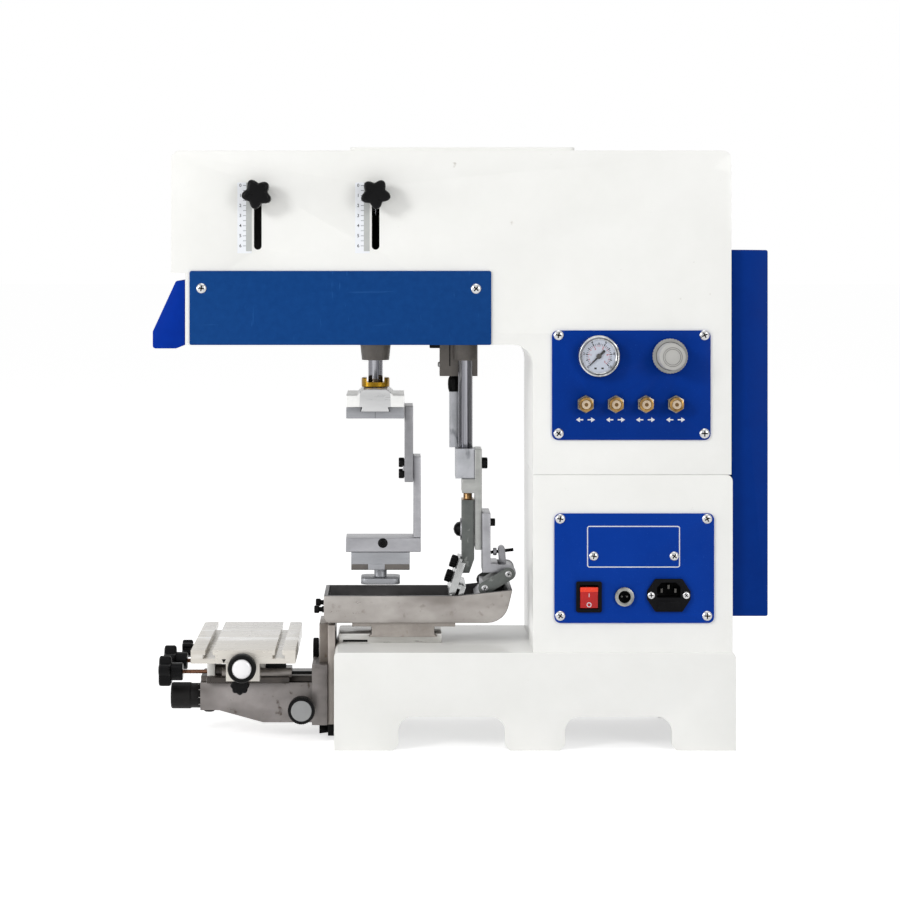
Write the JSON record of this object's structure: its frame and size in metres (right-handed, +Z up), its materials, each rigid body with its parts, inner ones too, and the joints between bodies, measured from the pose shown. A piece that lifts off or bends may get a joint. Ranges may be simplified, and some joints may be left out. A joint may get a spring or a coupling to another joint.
{
  "type": "pad printing machine",
  "caption": "Bench pad printing machine: cast base and overhanging arm, sliding pad and scraper carriage, ink tray and an adjustable T-slot work table.",
  "frame": {"origin": "middle of the base's foot print, on the bottom face of the middle foot", "axes": "+Z up; -Y is the operator's near side with the two panels; -X is the front, where the arm and the work table point"},
  "size_m": [0.6123, 0.2143, 0.5999],
  "materials": {
    "white_paint": "satin, fine cast texture",
    "blue_paint": "satin",
    "panel_blue": "satin",
    "steel": "machined",
    "chrome": "polished",
    "cast_metal": "as cast, brushed",
    "machined_iron": "ground",
    "light_alloy": "milled",
    "dark_alloy": "satin",
    "brass": "turned",
    "black_plastic": "gloss",
    "grey_plastic": "matte",
    "cream_plastic": "matte",
    "red_plastic": "gloss"
  },
  "bodies": {
    "machine_frame": {"base_casting": "white_paint", "head_casting": "white_paint", "top_cover": "white_paint", "side_cover": "blue_paint", "rear_cover": "blue_paint", "front_guard": "blue_paint", "control_panel": "panel_blue", "power_panel": "panel_blue", "pressure_gauge": "chrome", "regulator_body": "grey_plastic", "throttle_block": "brass", "switch_housing": "black_plastic", "pedal_socket": "steel", "mains_inlet": "black_plastic", "guide_frame": "chrome", "drive_cylinder": "light_alloy", "tray_bed": "machined_iron", "tray_adapter": "machined_iron", "ink_tray": "cast_metal", "printing_plate": "steel", "slideway": "machined_iron"},
    "needle": {"gauge_needle": "black_plastic"},
    "pressure_knob": {"regulator_knob": "grey_plastic"},
    "throttle_1": {"throttle_screw_1": "cream_plastic"},
    "throttle_2": {"throttle_screw_2": "cream_plastic"},
    "throttle_3": {"throttle_screw_3": "cream_plastic"},
    "throttle_4": {"throttle_screw_4": "cream_plastic"},
    "rocker": {"switch_rocker": "red_plastic"},
    "front_stop": {"stroke_stop_front": "steel"},
    "rear_stop": {"stroke_stop_rear": "steel"},
    "front_stop_knob": {"stroke_knob_front": "black_plastic"},
    "rear_stop_knob": {"stroke_knob_rear": "black_plastic"},
    "print_carriage": {"carriage": "light_alloy", "pad_cylinder": "light_alloy"},
    "pad_head": {"pad_shaft": "chrome", "ring_nut": "brass", "head_block": "light_alloy"},
    "pad_arm": {"offset_slide": "light_alloy", "upper_bar": "light_alloy", "lower_bar": "light_alloy", "foot_bar": "light_alloy", "pad_holder": "steel", "pad_plate": "light_alloy"},
    "scraper_head": {"scraper_shaft": "chrome", "scraper_clamp": "light_alloy", "blade_carrier": "light_alloy", "blade_holder": "dark_alloy", "doctor_blade": "light_alloy", "flood_bracket": "light_alloy"},
    "flood_arm": {"flood_lever": "machined_iron"},
    "knee_body": {"knee": "machined_iron"},
    "wheel": {"height_wheel": "black_plastic"},
    "knee_lock": {"knee_lock_knob": "black_plastic"},
    "saddle_body": {"saddle": "light_alloy"},
    "lead_screw": {"saddle_screw": "black_plastic"},
    "table_lock": {"table_lock_knob": "black_plastic"},
    "small_lock": {"small_lock_knob": "black_plastic"},
    "saddle_lock": {"saddle_lock_knob": "black_plastic"},
    "table": {"work_table": "light_alloy"},
    "cross_screw": {"table_screw": "black_plastic"}
  },
  "joints": [
    {"name": "needle_sweep", "type": "hinge", "parent": "machine_frame", "child": "needle", "pos_m": [0.063, -0.099, 0.3919], "axis": [0, 1, 0], "range_deg": [0, 270]},
    {"name": "regulator_turn", "type": "hinge", "parent": "machine_frame", "child": "pressure_knob", "pos_m": [0.1337, -0.1, 0.3919], "axis": [0, 1, 0], "range_deg": [-720, 720]},
    {"name": "throttle_turn_1", "type": "hinge", "parent": "machine_frame", "child": "throttle_1", "pos_m": [0.05, -0.1, 0.3443], "axis": [0, 1, 0], "range_deg": [-720, 720]},
    {"name": "throttle_turn_2", "type": "hinge", "parent": "machine_frame", "child": "throttle_2", "pos_m": [0.0798, -0.1, 0.3443], "axis": [0, 1, 0], "range_deg": [-720, 720]},
    {"name": "throttle_turn_3", "type": "hinge", "parent": "machine_frame", "child": "throttle_3", "pos_m": [0.1096, -0.1, 0.3443], "axis": [0, 1, 0], "range_deg": [-720, 720]},
    {"name": "throttle_turn_4", "type": "hinge", "parent": "machine_frame", "child": "throttle_4", "pos_m": [0.1394, -0.1, 0.3443], "axis": [0, 1, 0], "range_deg": [-720, 720]},
    {"name": "switch_tip", "type": "hinge", "parent": "machine_frame", "child": "rocker", "pos_m": [0.0534, -0.0921, 0.153], "axis": [1, 0, 0], "range_deg": [-16, 0]},
    {"name": "front_stop_height", "type": "slide", "parent": "machine_frame", "child": "front_stop", "axis": [0, 0, 1], "range_m": [-0.051, 0.004]},
    {"name": "rear_stop_height", "type": "slide", "parent": "machine_frame", "child": "rear_stop", "axis": [0, 0, 1], "range_m": [-0.051, 0.004]},
    {"name": "front_stop_clamp", "type": "hinge", "parent": "front_stop", "child": "front_stop_knob", "pos_m": [-0.2752, -0.1, 0.5524], "axis": [0, 1, 0], "range_deg": [0, 360]},
    {"name": "rear_stop_clamp", "type": "hinge", "parent": "rear_stop", "child": "rear_stop_knob", "pos_m": [-0.1582, -0.1, 0.5524], "axis": [0, 1, 0], "range_deg": [0, 360]},
    {"name": "carriage_travel", "type": "slide", "parent": "machine_frame", "child": "print_carriage", "axis": [-1, 0, 0], "range_m": [0, 0.117]},
    {"name": "pad_stroke", "type": "slide", "parent": "print_carriage", "child": "pad_head", "axis": [0, 0, 1], "range_m": [-0.018, 0.016]},
    {"name": "pad_offset", "type": "slide", "parent": "pad_head", "child": "pad_arm", "axis": [0, 1, 0], "range_m": [-0.015, 0.015]},
    {"name": "scraper_drop", "type": "slide", "parent": "print_carriage", "child": "scraper_head", "axis": [0, 0, -1], "range_m": [0, 0.006]},
    {"name": "flood_swing", "type": "hinge", "parent": "scraper_head", "child": "flood_arm", "pos_m": [-0.0238, 0, 0.168], "axis": [0, 1, 0], "range_deg": [0, 15]},
    {"name": "knee_lift", "type": "slide", "parent": "machine_frame", "child": "knee_body", "axis": [0, 0, 1], "range_m": [-0.011, 0.025]},
    {"name": "wheel_turn", "type": "hinge", "parent": "knee_body", "child": "wheel", "pos_m": [-0.35, 0, 0.039], "axis": [1, 0, 0], "range_deg": [-900, 1900]},
    {"name": "knee_lock_turn", "type": "hinge", "parent": "knee_body", "child": "knee_lock", "pos_m": [-0.2329, -0.055, 0.0349], "axis": [0, 1, 0], "range_deg": [0, 360]},
    {"name": "saddle_travel", "type": "slide", "parent": "knee_body", "child": "saddle_body", "axis": [1, 0, 0], "range_m": [-0.015, 0.01]},
    {"name": "lead_screw_turn", "type": "hinge", "parent": "saddle_body", "child": "lead_screw", "pos_m": [-0.35, -0.02, 0.0668], "axis": [1, 0, 0], "range_deg": [-2750, 1850]},
    {"name": "table_lock_turn", "type": "hinge", "parent": "saddle_body", "child": "table_lock", "pos_m": [-0.35, 0.038, 0.0684], "axis": [1, 0, 0], "range_deg": [0, 360]},
    {"name": "small_lock_turn", "type": "hinge", "parent": "saddle_body", "child": "small_lock", "pos_m": [-0.35, 0.062, 0.077], "axis": [1, 0, 0], "range_deg": [0, 360]},
    {"name": "saddle_lock_turn", "type": "hinge", "parent": "saddle_body", "child": "saddle_lock", "pos_m": [-0.29432, -0.065, 0.0608], "axis": [0, 1, 0], "range_deg": [0, 360]},
    {"name": "table_travel", "type": "slide", "parent": "saddle_body", "child": "table", "axis": [0, 1, 0], "range_m": [-0.008, 0.008]},
    {"name": "cross_screw_turn", "type": "hinge", "parent": "table", "child": "cross_screw", "pos_m": [-0.28984, -0.1, 0.0846], "axis": [0, 1, 0], "range_deg": [-1500, 1500]}
  ],
  "couplings": [
    {"joint": "wheel_turn", "follows": "knee_lift", "rad_per_m": 1256.6},
    {"joint": "lead_screw_turn", "follows": "saddle_travel", "rad_per_m": 3141.6},
    {"joint": "cross_screw_turn", "follows": "table_travel", "rad_per_m": 3141.6}
  ]
}
